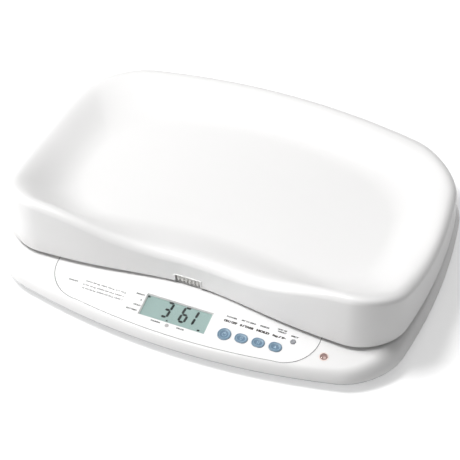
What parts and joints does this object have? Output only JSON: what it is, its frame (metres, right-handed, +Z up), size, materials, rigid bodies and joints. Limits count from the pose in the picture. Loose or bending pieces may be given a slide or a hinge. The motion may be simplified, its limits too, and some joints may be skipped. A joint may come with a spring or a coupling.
{
  "type": "digital baby weighing scale",
  "caption": "Digital baby weighing scale: a removable moulded tray with raised front corners over a low base with a tilted console, display window, push keys and bubble level.",
  "frame": {"origin": "on the table, under the middle of the base", "axes": "+X to the user's right along the scale, +Y from the console to the rear, +Z up"},
  "size_m": [0.55, 0.415, 0.1195],
  "materials": {
    "shell_white": "glossy",
    "cover_grey": "fine grain",
    "overlay_film": "satin film",
    "clear_window": "clear",
    "lcd_green": "satin",
    "dark_plastic": "satin",
    "board_green": "solder mask",
    "black_plastic": "satin",
    "key_blue": "satin",
    "key_grey": "satin",
    "level_ring": "glossy",
    "level_red": "tinted",
    "cell_alu": "milled",
    "plate_steel": "zinc plated",
    "screw_steel": "zinc plated",
    "rubber_grey": "matt",
    "foot_grey": "satin",
    "cell_wrap": "printed sleeve",
    "contact_nickel": "nickel plated"
  },
  "bodies": {
    "base": {"base_housing": "shell_white", "base_cover": "cover_grey", "panel_overlay": "overlay_film", "display_window": "clear_window", "display_glass": "lcd_green", "display_frame": "dark_plastic", "circuit_board": "board_green", "key_switches": "black_plastic", "board_screws": "screw_steel", "level_case": "level_ring", "level_lens": "level_red", "load_cell": "cell_alu", "cell_spacers": "plate_steel", "cell_bolts": "screw_steel", "platform": "plate_steel", "platform_pads": "rubber_grey", "locating_tab": "shell_white", "overload_stops": "screw_steel", "battery_cells": "cell_wrap", "battery_contacts": "contact_nickel", "housing_screws": "screw_steel", "power_jack": "black_plastic"},
    "tray": {"tray": "shell_white", "tray_ribs": "shell_white"},
    "key_1": {"key_1": "key_blue"},
    "key_2": {"key_2": "key_blue"},
    "key_3": {"key_3": "key_blue"},
    "key_4": {"key_4": "key_blue"},
    "key_small": {"key_small": "key_grey"},
    "battery_door": {"battery_door": "cover_grey"},
    "foot_front_left": {"foot_front_left": "foot_grey", "pad_front_left": "rubber_grey"},
    "foot_front_right": {"foot_front_right": "foot_grey", "pad_front_right": "rubber_grey"},
    "foot_rear_left": {"foot_rear_left": "foot_grey", "pad_rear_left": "rubber_grey"},
    "foot_rear_right": {"foot_rear_right": "foot_grey", "pad_rear_right": "rubber_grey"}
  },
  "joints": [
    {"name": "tray_lift", "type": "slide", "parent": "base", "child": "tray", "axis": [0, 0, 1], "range_m": [0, 0.06]},
    {"name": "key_1_press", "type": "slide", "parent": "base", "child": "key_1", "axis": [0, 0.1392, -0.9903], "range_m": [0, 0.001], "stiffness_N_per_m": 400, "springref_m": -0.001},
    {"name": "key_2_press", "type": "slide", "parent": "base", "child": "key_2", "axis": [0, 0.1392, -0.9903], "range_m": [0, 0.001], "stiffness_N_per_m": 400, "springref_m": -0.001},
    {"name": "key_3_press", "type": "slide", "parent": "base", "child": "key_3", "axis": [0, 0.1392, -0.9903], "range_m": [0, 0.001], "stiffness_N_per_m": 400, "springref_m": -0.001},
    {"name": "key_4_press", "type": "slide", "parent": "base", "child": "key_4", "axis": [0, 0.1392, -0.9903], "range_m": [0, 0.001], "stiffness_N_per_m": 400, "springref_m": -0.001},
    {"name": "key_small_press", "type": "slide", "parent": "base", "child": "key_small", "axis": [0, 0.1392, -0.9903], "range_m": [0, 0.001], "stiffness_N_per_m": 400, "springref_m": -0.001},
    {"name": "battery_door_hinge", "type": "hinge", "parent": "base", "child": "battery_door", "pos_m": [0.0919, 0.112, 0.006], "axis": [0, 1, 0], "range_deg": [0, 100]},
    {"name": "foot_front_left_turn", "type": "hinge", "parent": "base", "child": "foot_front_left", "pos_m": [-0.215, -0.1, 0.004], "axis": [0, 0, 1], "continuous": true},
    {"name": "foot_front_right_turn", "type": "hinge", "parent": "base", "child": "foot_front_right", "pos_m": [0.215, -0.1, 0.004], "axis": [0, 0, 1], "continuous": true},
    {"name": "foot_rear_left_turn", "type": "hinge", "parent": "base", "child": "foot_rear_left", "pos_m": [-0.215, 0.12, 0.004], "axis": [0, 0, 1], "continuous": true},
    {"name": "foot_rear_right_turn", "type": "hinge", "parent": "base", "child": "foot_rear_right", "pos_m": [0.215, 0.12, 0.004], "axis": [0, 0, 1], "continuous": true}
  ]
}
